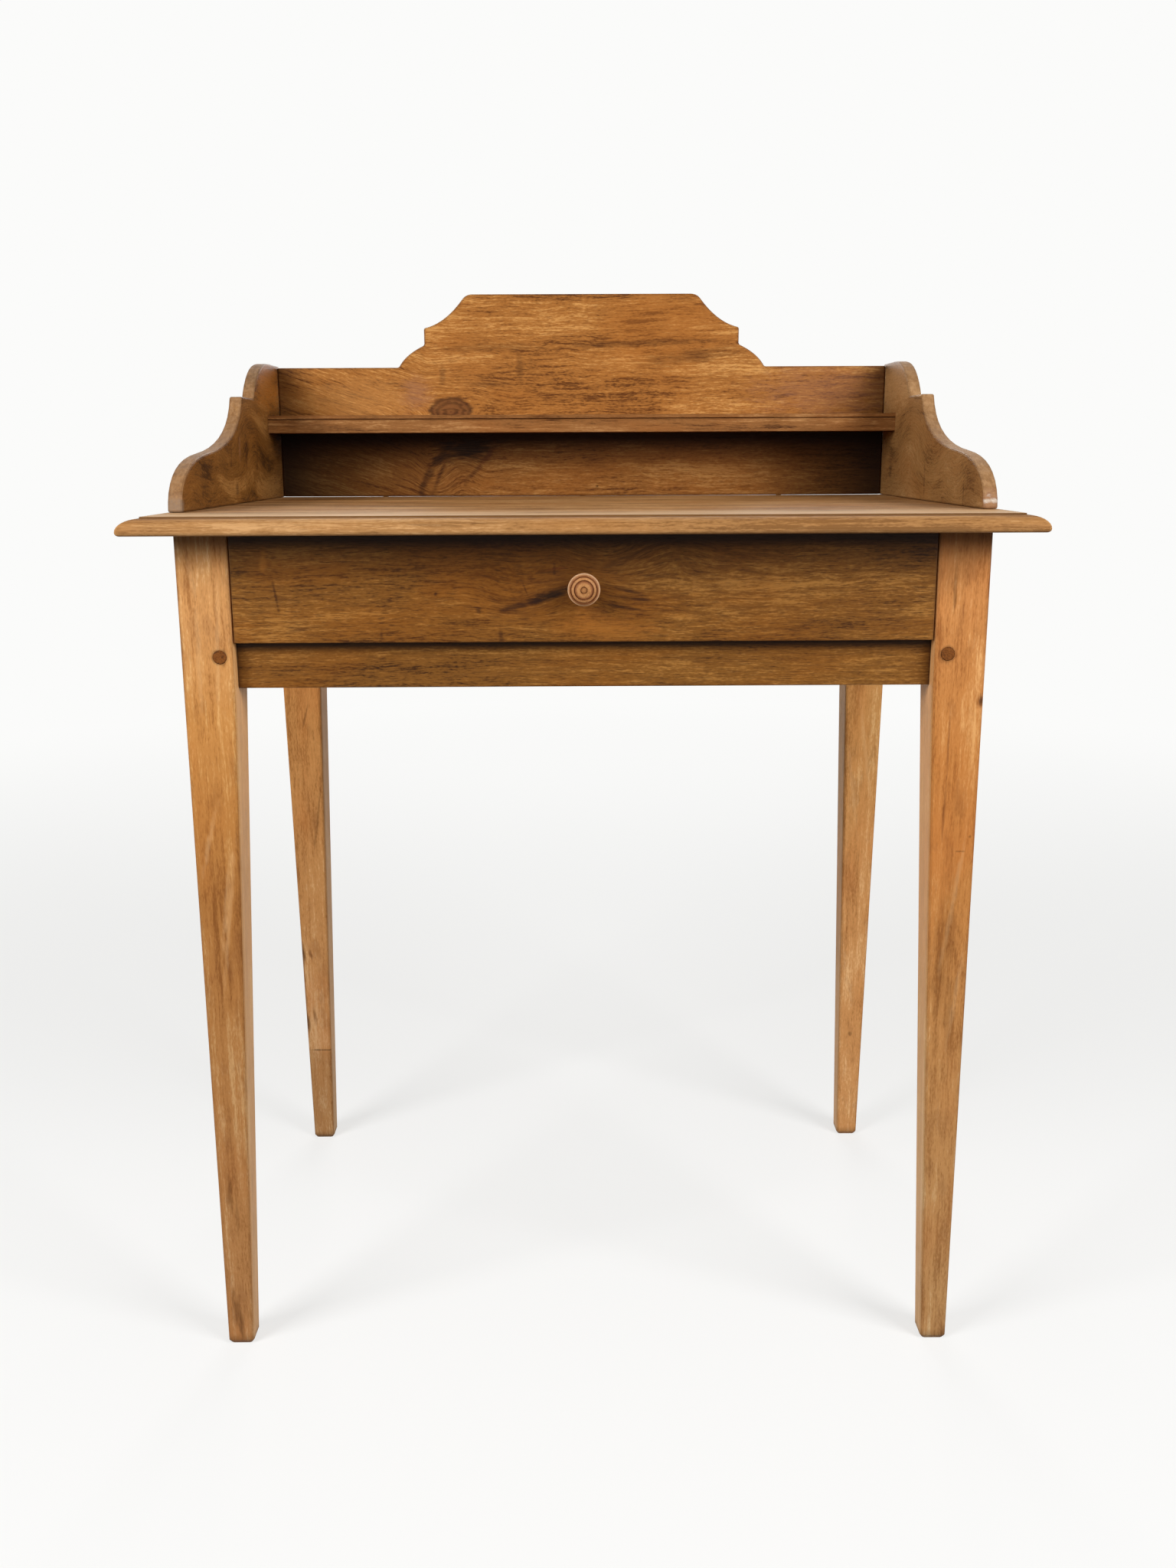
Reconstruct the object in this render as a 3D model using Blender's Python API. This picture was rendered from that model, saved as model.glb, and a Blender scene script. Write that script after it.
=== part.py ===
"""Rustic dressing table: tapered legs in a pegged frame, one dovetailed drawer and a shaped gallery."""

import math

import bmesh
import bpy

# Gaps, in metres like every size here
FIT = 0.0003
RUNNING_GAP = 0.001
CUT_MARGIN = 0.004

# Frame: X runs across the front, Y from front to back, Z up from the floor
BASE_WIDTH = 0.656
BASE_DEPTH = 0.423
TOP_HEIGHT = 0.745
LEG_SIZE = 0.043
FOOT_SIZE = 0.023
FOOT_CHAMFER = 0.002
FOOT_CHAMFER_HEIGHT = 0.0035
BACK_FOOT_TOE_IN = 0.006
LEG_ARRIS = 0.0025
APRON_HEIGHT = 0.126
APRON_THICK = 0.020
APRON_INSET = 0.004
RAIL_HEIGHT = 0.038
RAIL_THICK = 0.020
RAIL_RECESS = 0.010
BOARD_ARRIS = 0.0008

# Pegged mortise and tenon joints
TENON_THICK = 0.009
TENON_LENGTH = 0.018
TENON_SHOULDER = 0.003
TENON_ARRIS = 0.0005
PEG_DIAMETER = 0.011
PEG_LENGTH = 0.030
PEG_PROUD = 0.0004
PEG_SETBACK = 0.0114
PEG_SIDES = 16
RAIL_PEG_RISE = 0.027
SIDE_PEG_RISES = (0.045, 0.095)
BACK_PEG_RISES = (0.028, 0.078)

# Top board with a thumbnail moulding on its front and sides
TOP_THICK = 0.0145
FRONT_OVERHANG = 0.035
SIDE_OVERHANG = 0.035
BACK_OVERHANG = 0.058
MOULDING_WIDTH = 0.0155
MOULDING_QUIRK = 0.0013
MOULDING_UNDER_ROUND = 0.003
MOULDING_STEPS = 8

# Gallery that stands on the top: heights are above the top's surface
GALLERY_INSET = 0.017
GALLERY_SETBACK = 0.0895
GALLERY_BACK_INSET = 0.002
GALLERY_ARRIS = 0.0016
SIDE_THICK = 0.0127
SIDE_HEIGHT = 0.1405
SIDE_NOSE_LENGTH = 0.0955
SIDE_NOSE_HEIGHT = 0.048
SIDE_STEP_HEIGHT = 0.102
SIDE_STEP_TREAD = 0.052
SIDE_CROWN_LENGTH = 0.084
SIDE_CROWN_FLAT = 0.049
BACK_THICK = 0.012
BACK_SHOULDER_HEIGHT = 0.1385
BACK_BOW = 0.0004
CREST_HEIGHT = 0.2145
CREST_TOP_WIDTH = 0.236
CREST_CORNER_WIDTH = 0.011
CREST_CORNER_HEIGHT = 0.005
CREST_STEP_WIDTH = 0.343
CREST_STEP_LOW = 0.1618
CREST_STEP_HIGH = 0.1795
CREST_FOOT_WIDTH = 0.400
SHELF_DEPTH = 0.059
SHELF_THICK = 0.018
SHELF_RISE = 0.0687
SHELF_HOUSING = 0.004
SHELF_GROOVE_DROP = 0.0035
SHELF_GROOVE_WIDTH = 0.0014
SHELF_GROOVE_DEPTH = 0.002
DOWEL_DIAMETER = 0.006
DOWEL_SIDES = 12
DOWEL_IN_TOP = 0.008
DOWEL_IN_BOARD = 0.014
SIDE_DOWEL_SETBACK = 0.060
BACK_DOWEL_SPACING = 0.220

# Bends of the shaped edges: each is pulled to these shares of its own width and height
CURVE_STEPS = 9
SIDE_NOSE_PULL = (0.02, 0.865)
SIDE_HOLLOW_PULL = (0.868, 0.16)
SIDE_CROWN_PULL = (0.31, 1.0)
CREST_CORNER_PULL = (0.65, 0.0)
CREST_HOLLOW_PULL = (0.459, 0.847)
CREST_FOOT_PULL = (0.76, 0.42)
BACK_BOW_PULL = (0.5, 1.0)
KNOB_COVE_PULL = (0.55, 0.1)

# Inside the frame
RUNNER_REACH = 0.023
RUNNER_THICK = 0.016
GUIDE_HEIGHT = 0.020
KICKER_THICK = 0.012
STOP_WIDTH = 0.030
STOP_HEIGHT = 0.005
STOP_SPACING = 0.360
BLOCK_SIZE = 0.020
BLOCK_CHAMFER = 0.010
BLOCK_LENGTH = 0.060
BLOCK_SPACING = 0.300

# Drawer
DRAWER_FRONT_THICK = 0.020
DRAWER_TOP_GAP = 0.0012
DRAWER_BACK_ROOM = 0.026
DRAWER_SIDE_THICK = 0.010
DRAWER_BACK_THICK = 0.010
DRAWER_BACK_DROP = 0.004
DRAWER_BOTTOM_THICK = 0.006
DRAWER_BOTTOM_RISE = 0.008
DRAWER_GROOVE = 0.005
DRAWER_LAP = 0.006
TAIL_PITCH = 0.024
TAIL_WIDTH = 0.018
TAIL_SLOPE = 1 / 6

# Knob turned in one piece with its spigot, with grooves turned in its domed face
KNOB_DIAMETER = 0.026
KNOB_FOOT_DIAMETER = 0.018
KNOB_FOOT_HEIGHT = 0.002
KNOB_NECK_DIAMETER = 0.0145
KNOB_NECK_HEIGHT = 0.004
KNOB_RIM_BACK = 0.0105
KNOB_RIM_FRONT = 0.0135
KNOB_CROWN = 0.006
KNOB_GROOVE_DIAMETERS = (0.0206, 0.0150, 0.0050)
KNOB_GROOVE_WIDTH = 0.0012
KNOB_GROOVE_DEPTH = 0.0011
KNOB_SPIGOT_DIAMETER = 0.009
KNOB_SPIGOT_LENGTH = 0.018
KNOB_SIDES = 40

# Places worked out from the sizes above
TOP_WIDTH = BASE_WIDTH + 2 * SIDE_OVERHANG
TOP_DEPTH = FRONT_OVERHANG + BASE_DEPTH + BACK_OVERHANG
TOP_FRONT = -TOP_DEPTH / 2
TOP_BACK = TOP_DEPTH / 2
LEGS_FRONT = TOP_FRONT + FRONT_OVERHANG
LEGS_BACK = LEGS_FRONT + BASE_DEPTH
LEGS_OUTER = BASE_WIDTH / 2
LEGS_INNER = LEGS_OUTER - LEG_SIZE
UNDERSIDE = TOP_HEIGHT - TOP_THICK
APRON_TOP = UNDERSIDE - FIT
APRON_BOTTOM = UNDERSIDE - APRON_HEIGHT
APRON_INNER = LEGS_OUTER - APRON_INSET - APRON_THICK
BACK_APRON_FRONT = LEGS_BACK - APRON_INSET - APRON_THICK
RAIL_FRONT = LEGS_FRONT + RAIL_RECESS
RAIL_BACK = RAIL_FRONT + RAIL_THICK
RAIL_TOP = APRON_BOTTOM + RAIL_HEIGHT
BETWEEN_FRONT = LEGS_FRONT + LEG_SIZE + FIT
BETWEEN_BACK = LEGS_BACK - LEG_SIZE - FIT
GALLERY_OUTER = TOP_WIDTH / 2 - GALLERY_INSET
GALLERY_INNER = GALLERY_OUTER - SIDE_THICK
GALLERY_FRONT = TOP_FRONT + GALLERY_SETBACK
GALLERY_BACK = TOP_BACK - GALLERY_BACK_INSET
BACK_BOARD_FRONT = GALLERY_BACK - BACK_THICK
SHELF_FRONT = BACK_BOARD_FRONT - FIT - SHELF_DEPTH
KICKER_BOTTOM = UNDERSIDE - FIT - KICKER_THICK
DRAWER_BASE = RAIL_TOP + FIT
DRAWER_WIDTH = 2 * (LEGS_INNER - RUNNING_GAP)
DRAWER_LENGTH = BACK_APRON_FRONT - DRAWER_BACK_ROOM - LEGS_FRONT
DRAWER_FRONT_HEIGHT = UNDERSIDE - DRAWER_TOP_GAP - DRAWER_BASE
DRAWER_SIDE_HEIGHT = KICKER_BOTTOM - RUNNING_GAP - DRAWER_BASE
DRAWER_INNER = DRAWER_WIDTH / 2 - DRAWER_SIDE_THICK
GROOVE_TOP = DRAWER_BOTTOM_RISE + DRAWER_BOTTOM_THICK + 2 * FIT
DRAWER_BACK_TOP = DRAWER_SIDE_HEIGHT - DRAWER_BACK_DROP
DRAWER_BACK_FRONT = DRAWER_LENGTH - DRAWER_BACK_THICK

SIDES = {"left": -1, "right": 1}


def material(name, colour, roughness):
    made = bpy.data.materials.new(name)
    made.use_nodes = True
    shader = made.node_tree.nodes["Principled BSDF"]
    shader.inputs["Base Color"].default_value = (*colour, 1)
    shader.inputs["Roughness"].default_value = roughness
    shader.inputs["Metallic"].default_value = 0
    return made


def point(plane, a, b, c):
    """The place a, b in a plane and c along the axis square to it."""
    return {"xy": (a, b, c), "xz": (a, c, b), "yz": (c, a, b)}[plane]


def rectangle(a, b):
    """Outline over the two spans a and b."""
    return [(a[0], b[0]), (a[1], b[0]), (a[1], b[1]), (a[0], b[1])]


def rounded(a, b, radius, steps=3):
    """Outline over the spans a and b with round corners."""
    centres = ((a[1] - radius, b[1] - radius), (a[0] + radius, b[1] - radius))
    centres += ((a[0] + radius, b[0] + radius), (a[1] - radius, b[0] + radius))
    outline = []
    for corner, (x, y) in enumerate(centres):
        for step in range(steps):
            angle = (corner + step / (steps - 1)) * math.pi / 2
            outline.append((x + radius * math.cos(angle), y + radius * math.sin(angle)))
    return outline


def circle(radius, sides):
    turn = 2 * math.pi / sides
    return [(radius * math.cos(i * turn), radius * math.sin(i * turn)) for i in range(sides)]


def curve(start, end, along, across):
    """Points of a smooth bend after start, pulled to shares of the way along and across."""
    pull = (start[0] + along * (end[0] - start[0]), start[1] + across * (end[1] - start[1]))
    points = []
    for step in range(1, CURVE_STEPS + 1):
        t = step / CURVE_STEPS
        weights = ((1 - t) ** 2, 2 * t * (1 - t), t**2)
        points.append(
            tuple(sum(w * p[i] for w, p in zip(weights, (start, pull, end))) for i in (0, 1))
        )
    return points


def loft(bm, rings):
    """Closed skin through rings of equally many points."""
    loops = [[bm.verts.new(p) for p in ring] for ring in rings]
    faces = [bm.faces.new(loops[0]), bm.faces.new(loops[-1])]
    for low, high in zip(loops, loops[1:]):
        for i in range(len(low)):
            j = (i + 1) % len(low)
            faces.append(bm.faces.new((low[i], low[j], high[j], high[i])))
    bmesh.ops.recalc_face_normals(bm, faces=faces)


def sections(plane, stations):
    """A skin through outlines in a plane, each at its own place along the axis square to it."""
    bm = bmesh.new()
    loft(bm, [[point(plane, a, b, place) for a, b in outline] for place, outline in stations])
    return bm


def prism(plane, outline, start, end):
    return sections(plane, [(start, outline), (end, outline)])


def box(x, y, z):
    return prism("xy", rectangle(x, y), *z)


def prisms(plane, outlines, start, end):
    """Several prisms in one mesh, for cutters that cut a row of sockets."""
    bm = bmesh.new()
    for outline in outlines:
        loft(bm, [[point(plane, a, b, place) for a, b in outline] for place in (start, end)])
    return bm


def span(first, second):
    return (min(first, second), max(first, second))


def grown(pair, gap):
    return (pair[0] - gap, pair[1] + gap)


def mesh_object(name, bm, parent, location=(0, 0, 0)):
    mesh = bpy.data.meshes.new(name)
    bm.to_mesh(mesh)
    bm.free()
    obj = bpy.data.objects.new(name, mesh)
    bpy.context.scene.collection.objects.link(obj)
    obj.parent = parent
    obj.location = location
    return obj


def piece(name, bm, finish, parent, location=(0, 0, 0)):
    """A named sub-part with its finish."""
    obj = mesh_object(name, bm, parent, location)
    obj.data.materials.append(finish)
    obj.data.shade_smooth()
    obj.data.set_sharp_from_angle(angle=math.radians(40))
    return obj


def cut(bm, *targets, parent, location=(0, 0, 0)):
    """Cuts a shape out of each target, and keeps the shape as a hidden helper."""
    cutter = mesh_object("cutter", bm, parent, location)
    cutter.hide_render = True
    cutter.display_type = "WIRE"
    for target in targets:
        boolean = target.modifiers.new("cut", "BOOLEAN")
        boolean.operation = "DIFFERENCE"
        boolean.solver = "EXACT"
        boolean.object = cutter


def ease(obj, width):
    """Breaks the sharp edges of a board."""
    bevel = obj.modifiers.new("arris", "BEVEL")
    bevel.width = width
    bevel.segments = 2
    bevel.limit_method = "ANGLE"
    bevel.angle_limit = math.radians(35)


def tenoned(plane, a, b, tenon_a, tenon_b, start, end):
    """A board between start and end with a tenon at each end."""
    body = rounded(a, b, BOARD_ARRIS)
    tenon = rounded(tenon_a, tenon_b, TENON_ARRIS)
    stations = [(start - TENON_LENGTH, tenon), (start, tenon), (start, body)]
    stations += [(end, body), (end, tenon), (end + TENON_LENGTH, tenon)]
    return sections(plane, stations)


def middle(pair, width):
    centre = sum(pair) / 2
    return (centre - width / 2, centre + width / 2)


def peg(name, axis, face, inward, centre, leg, board, parent, finish):
    """A peg driven from a face of the leg through the tenon, with its hole in both."""
    plane = {"x": "yz", "y": "xz"}[axis]
    radius = PEG_DIAMETER / 2
    start = face - inward * PEG_PROUD
    rim = start + inward * PEG_PROUD
    end = face + inward * PEG_LENGTH
    hole = circle(radius + FIT, PEG_SIDES)
    place = point(plane, *centre, 0)
    hole_span = span(face - inward * CUT_MARGIN, end + inward * FIT)
    cut(prism(plane, hole, *hole_span), leg, board, parent=parent, location=place)
    shaft = circle(radius, PEG_SIDES)
    head = circle(radius - PEG_PROUD, PEG_SIDES)
    piece(name, sections(plane, [(start, head), (rim, shaft), (end, shaft)]), finish, parent, place)


def make_leg(name, side, front, frame, finish):
    """A square leg, tapered on its inner faces below the aprons; the back feet also toe in."""
    inward = 1 if front else -1
    corner = (side * LEGS_OUTER, LEGS_FRONT if front else LEGS_BACK, 0)
    toe_in = 0 if front else BACK_FOOT_TOE_IN

    def ring(size, toe, chamfer=0.0):
        near = -side * (toe + chamfer)
        far = -side * (toe + size - chamfer)
        deep = span(inward * chamfer, inward * (size - chamfer))
        return rounded(span(near, far), deep, LEG_ARRIS)

    def share(height):
        return 1 - height / APRON_BOTTOM

    def size_at(height):
        return LEG_SIZE - (LEG_SIZE - FOOT_SIZE) * share(height)

    ankle = FOOT_CHAMFER_HEIGHT
    stations = [
        (0, ring(FOOT_SIZE, toe_in, FOOT_CHAMFER)),
        (ankle, ring(size_at(ankle), toe_in * share(ankle))),
        (APRON_BOTTOM, ring(LEG_SIZE, 0)),
        (APRON_TOP, ring(LEG_SIZE, 0)),
    ]
    return piece(name, sections("xy", stations), finish, frame, corner)


def make_frame(frame, woods):
    """Legs, aprons and front rail, with their pegs."""
    legs = {}
    for row in ("front", "back"):
        for word, side in SIDES.items():
            name = f"leg_{row}_{word}"
            legs[row, word] = make_leg(name, side, row == "front", frame, woods["leg"])

    def add_board(name, plane, a, b, start, end, wood):
        tenon_a = middle(a, TENON_THICK)
        tenon_b = (b[0] + TENON_SHOULDER, b[1] - TENON_SHOULDER)
        board = tenoned(plane, a, b, tenon_a, tenon_b, start, end)
        socket = rectangle(grown(tenon_a, FIT), grown(tenon_b, FIT))
        return piece(name, board, woods[wood], frame), socket

    def mortise(leg, plane, socket, face, deeper):
        reach = span(face - deeper * CUT_MARGIN, face + deeper * (TENON_LENGTH + FIT))
        cut(prism(plane, socket, *reach), leg, parent=frame)

    across = (FIT - LEGS_INNER, LEGS_INNER - FIT)
    heights = (APRON_BOTTOM, APRON_TOP)
    rail, rail_socket = add_board(
        "front_rail", "yz", (RAIL_FRONT, RAIL_BACK), (APRON_BOTTOM, RAIL_TOP), *across, "board"
    )
    back_span = (BACK_APRON_FRONT, BACK_APRON_FRONT + APRON_THICK)
    back, back_socket = add_board("back_apron", "yz", back_span, heights, *across, "inner")
    for word, side in SIDES.items():
        inner, outer = side * LEGS_INNER, side * LEGS_OUTER
        peg_x = side * (LEGS_INNER + PEG_SETBACK)
        mortise(legs["front", word], "yz", rail_socket, inner, side)
        mortise(legs["back", word], "yz", back_socket, inner, side)
        place = (peg_x, APRON_BOTTOM + RAIL_PEG_RISE)
        pinned = (legs["front", word], rail, frame, woods["peg"])
        peg(f"rail_peg_{word}", "y", LEGS_FRONT, 1, place, *pinned)
        for level, rise in zip(("lower", "upper"), BACK_PEG_RISES):
            pinned = (legs["back", word], back, frame, woods["peg"])
            place = (peg_x, APRON_BOTTOM + rise)
            peg(f"back_peg_{word}_{level}", "y", LEGS_BACK, -1, place, *pinned)

        x = span(side * APRON_INNER, side * (APRON_INNER + APRON_THICK))
        between = (BETWEEN_FRONT, BETWEEN_BACK)
        apron, socket = add_board(f"side_apron_{word}", "xz", x, heights, *between, "board")
        for row, face, deeper in (("front", BETWEEN_FRONT, -1), ("back", BETWEEN_BACK, 1)):
            leg = legs[row, word]
            leg_face = face + deeper * FIT
            mortise(leg, "xz", socket, leg_face, deeper)
            for level, rise in zip(("lower", "upper"), SIDE_PEG_RISES):
                place = (leg_face + deeper * PEG_SETBACK, APRON_BOTTOM + rise)
                name = f"side_peg_{row}_{word}_{level}"
                peg(name, "x", outer, -side, place, leg, apron, frame, woods["peg"])


def make_drawer_supports(frame, woods):
    """Runners, guides and kickers at each side, stops on the rail and blocks under the top."""
    beside_legs = LEGS_INNER - FIT
    reach = LEGS_INNER - RUNNER_REACH
    against = APRON_INNER - FIT
    for word, side in SIDES.items():
        plan = rectangle((reach, beside_legs), (RAIL_BACK + FIT, BACK_APRON_FRONT - FIT))
        plan[2:2] = [
            (beside_legs, BETWEEN_FRONT),
            (against, BETWEEN_FRONT),
            (against, BETWEEN_BACK),
            (beside_legs, BETWEEN_BACK),
        ]
        plan = [(side * x, y) for x, y in plan]
        runner = prism("xy", plan, RAIL_TOP - RUNNER_THICK, RAIL_TOP)
        piece(f"drawer_runner_{word}", runner, woods["inner"], frame)

        between = (BETWEEN_FRONT, BETWEEN_BACK)
        x = span(side * LEGS_INNER, side * against)
        guide = box(x, between, (RAIL_TOP + FIT, RAIL_TOP + FIT + GUIDE_HEIGHT))
        piece(f"drawer_guide_{word}", guide, woods["inner"], frame)

        x = span(side * reach, side * against)
        kicker = box(x, between, (KICKER_BOTTOM, UNDERSIDE - FIT))
        piece(f"drawer_kicker_{word}", kicker, woods["inner"], frame)

        x = grown((0, 0), STOP_WIDTH / 2)
        y = (LEGS_FRONT + DRAWER_FRONT_THICK + FIT, RAIL_BACK)
        stop = box(x, y, (DRAWER_BASE, DRAWER_BASE + STOP_HEIGHT))
        place = (side * STOP_SPACING / 2, 0, 0)
        piece(f"drawer_stop_{word}", stop, woods["inner"], frame, place)

        corner = (BACK_APRON_FRONT - FIT, UNDERSIDE - FIT)
        outline = rectangle((-BLOCK_SIZE, 0), (-BLOCK_SIZE, 0))
        cut_back = BLOCK_CHAMFER - BLOCK_SIZE
        outline[0:1] = [(-BLOCK_SIZE, cut_back), (cut_back, -BLOCK_SIZE)]
        block = prism("yz", outline, -BLOCK_LENGTH / 2, BLOCK_LENGTH / 2)
        place = (side * BLOCK_SPACING / 2, *corner)
        piece(f"glue_block_{word}", block, woods["inner"], frame, place)


def make_top(frame, finish):
    """One board; each ring of the moulding is a rectangle drawn in from three edges."""
    profile = []
    under = MOULDING_UNDER_ROUND
    over = TOP_THICK - MOULDING_QUIRK - under
    for step in range(MOULDING_STEPS + 1):
        angle = step / MOULDING_STEPS * math.pi / 2
        if step % 2 == 0:
            profile.append((under - under * math.sin(angle), under - under * math.cos(angle)))
    for step in range(1, MOULDING_STEPS + 1):
        angle = step / MOULDING_STEPS * math.pi / 2
        inset = MOULDING_WIDTH * (1 - math.cos(angle))
        profile.append((inset, under + over * math.sin(angle)))
    profile.append((MOULDING_WIDTH, TOP_THICK))

    def ring(inset):
        x = TOP_WIDTH / 2 - inset
        return rectangle((-x, x), (TOP_FRONT + inset, TOP_BACK))

    stations = [(rise, ring(inset)) for inset, rise in profile]
    return piece("table_top", sections("xy", stations), finish, frame, (0, 0, UNDERSIDE))


def side_outline():
    """Gallery side seen from its end: a round nose, a hollow, a step and a rounded crown."""
    nose = (GALLERY_FRONT, FIT)
    brow = (GALLERY_FRONT + SIDE_NOSE_LENGTH, SIDE_NOSE_HEIGHT)
    crown = (GALLERY_BACK - SIDE_CROWN_FLAT, SIDE_HEIGHT)
    tread_back = (crown[0] - SIDE_CROWN_LENGTH, SIDE_STEP_HEIGHT)
    tread_front = (tread_back[0] - SIDE_STEP_TREAD, SIDE_STEP_HEIGHT)
    outline = [(GALLERY_BACK, FIT), nose]
    outline += curve(nose, brow, *SIDE_NOSE_PULL)
    outline += curve(brow, tread_front, *SIDE_HOLLOW_PULL)
    outline.append(tread_back)
    outline += curve(tread_back, crown, *SIDE_CROWN_PULL)
    outline.append((GALLERY_BACK, SIDE_HEIGHT))
    return outline


def back_outline():
    """Gallery back seen from the front: square shoulders and a raised crest with stepped curves."""
    end = GALLERY_INNER - FIT
    crest = (CREST_TOP_WIDTH / 2, CREST_HEIGHT)
    corner = (crest[0] + CREST_CORNER_WIDTH, CREST_HEIGHT - CREST_CORNER_HEIGHT)
    step_high = (CREST_STEP_WIDTH / 2, CREST_STEP_HIGH)
    step_low = (CREST_STEP_WIDTH / 2, CREST_STEP_LOW)
    foot = (CREST_FOOT_WIDTH / 2, BACK_SHOULDER_HEIGHT)
    half = [crest]
    half += curve(crest, corner, *CREST_CORNER_PULL)
    half += curve(corner, step_high, *CREST_HOLLOW_PULL)
    half.append(step_low)
    half += curve(step_low, foot, *CREST_FOOT_PULL)
    half.append((end, BACK_SHOULDER_HEIGHT))
    bottom = [(end, FIT + BACK_BOW)]
    bottom += curve(bottom[0], (0, FIT), *BACK_BOW_PULL)
    half += bottom
    return half + [(-x, z) for x, z in reversed(half[:-1])]


def make_gallery(frame, top, finish, dowel_finish):
    """Two shaped sides, a crested back and a shelf housed in the sides, doweled to the top."""
    on_top = (0, 0, TOP_HEIGHT)
    back = prism("xz", back_outline(), BACK_BOARD_FRONT, GALLERY_BACK)
    back = piece("gallery_back", back, finish, frame, on_top)
    ease(back, GALLERY_ARRIS)

    x = grown((0, 0), GALLERY_INNER + SHELF_HOUSING - FIT)
    y = (SHELF_FRONT, SHELF_FRONT + SHELF_DEPTH)
    z = (SHELF_RISE, SHELF_RISE + SHELF_THICK)
    groove_top = z[1] - SHELF_GROOVE_DROP
    section = rectangle(y, z)
    section += [
        (y[0], groove_top),
        (y[0] + SHELF_GROOVE_DEPTH, groove_top - SHELF_GROOVE_WIDTH / 2),
        (y[0], groove_top - SHELF_GROOVE_WIDTH),
    ]
    piece("gallery_shelf", prism("yz", section, *x), finish, frame, on_top)

    housing = rectangle(grown(y, FIT), grown(z, FIT))
    for word, side in SIDES.items():
        x = span(side * GALLERY_INNER, side * GALLERY_OUTER)
        board = prism("yz", side_outline(), *x)
        board = piece(f"gallery_side_{word}", board, finish, frame, on_top)
        ease(board, GALLERY_ARRIS)
        depth = (side * (GALLERY_INNER - CUT_MARGIN), side * (GALLERY_INNER + SHELF_HOUSING))
        cut(prism("yz", housing, *span(*depth)), board, parent=frame, location=on_top)
        centre = side * (GALLERY_INNER + SIDE_THICK / 2)
        ends = (GALLERY_FRONT + SIDE_DOWEL_SETBACK, GALLERY_BACK - SIDE_DOWEL_SETBACK)
        for row, y_place in zip(("front", "back"), ends):
            name = f"gallery_dowel_{row}_{word}"
            dowel(name, (centre, y_place), board, top, frame, dowel_finish)

    middle_y = BACK_BOARD_FRONT + BACK_THICK / 2
    for word, step in {"left": -1, "middle": 0, "right": 1}.items():
        place = (step * BACK_DOWEL_SPACING, middle_y)
        dowel(f"back_board_dowel_{word}", place, back, top, frame, dowel_finish)


def dowel(name, place, board, top, frame, finish):
    """A hidden dowel between the top and a board that stands on it."""
    radius = DOWEL_DIAMETER / 2
    location = (*place, TOP_HEIGHT)
    ends = (-DOWEL_IN_TOP, DOWEL_IN_BOARD)
    pin = prism("xy", circle(radius, DOWEL_SIDES), *ends)
    piece(name, pin, finish, frame, location)
    hole = prism("xy", circle(radius + FIT, DOWEL_SIDES), *grown(ends, FIT))
    cut(hole, board, top, parent=frame, location=location)


def tails(start, tip, low, high, gap=0.0, past=0.0):
    """Dovetail outlines in a row between two heights, widening from start to tip."""
    count = max(1, int((high - low) / TAIL_PITCH))
    pitch = (high - low) / count
    reach = 1 if tip > start else -1
    length = abs(tip - start)
    outlines = []
    for index in range(count):
        centre = low + (index + 0.5) * pitch
        ends = []
        for place in (-past, length + (gap if past == 0 else past)):
            half = TAIL_WIDTH / 2 - (length - place) * TAIL_SLOPE + gap
            ends.append((start + reach * place, half))
        (y0, half0), (y1, half1) = ends
        outlines.append(
            [(y0, centre - half0), (y1, centre - half1), (y1, centre + half1), (y0, centre + half0)]
        )
    return outlines


def drawer_side_outline():
    """Drawer side seen from outside, with tails at both ends."""
    front_shoulder = DRAWER_FRONT_THICK + FIT
    back_shoulder = DRAWER_BACK_FRONT - FIT
    back_low = GROOVE_TOP - FIT
    back_high = DRAWER_BACK_TOP + FIT
    outline = [(front_shoulder, 0), (DRAWER_LENGTH, 0)]
    outline += [(DRAWER_LENGTH, back_low), (back_shoulder, back_low)]
    for tail in tails(back_shoulder, DRAWER_LENGTH, GROOVE_TOP, DRAWER_BACK_TOP):
        outline += tail
    outline += [(back_shoulder, back_high), (DRAWER_LENGTH, back_high)]
    outline += [(DRAWER_LENGTH, DRAWER_SIDE_HEIGHT), (front_shoulder, DRAWER_SIDE_HEIGHT)]
    for tail in reversed(tails(front_shoulder, DRAWER_LAP + FIT, 0, DRAWER_SIDE_HEIGHT)):
        outline += reversed(tail)
    return outline


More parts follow.
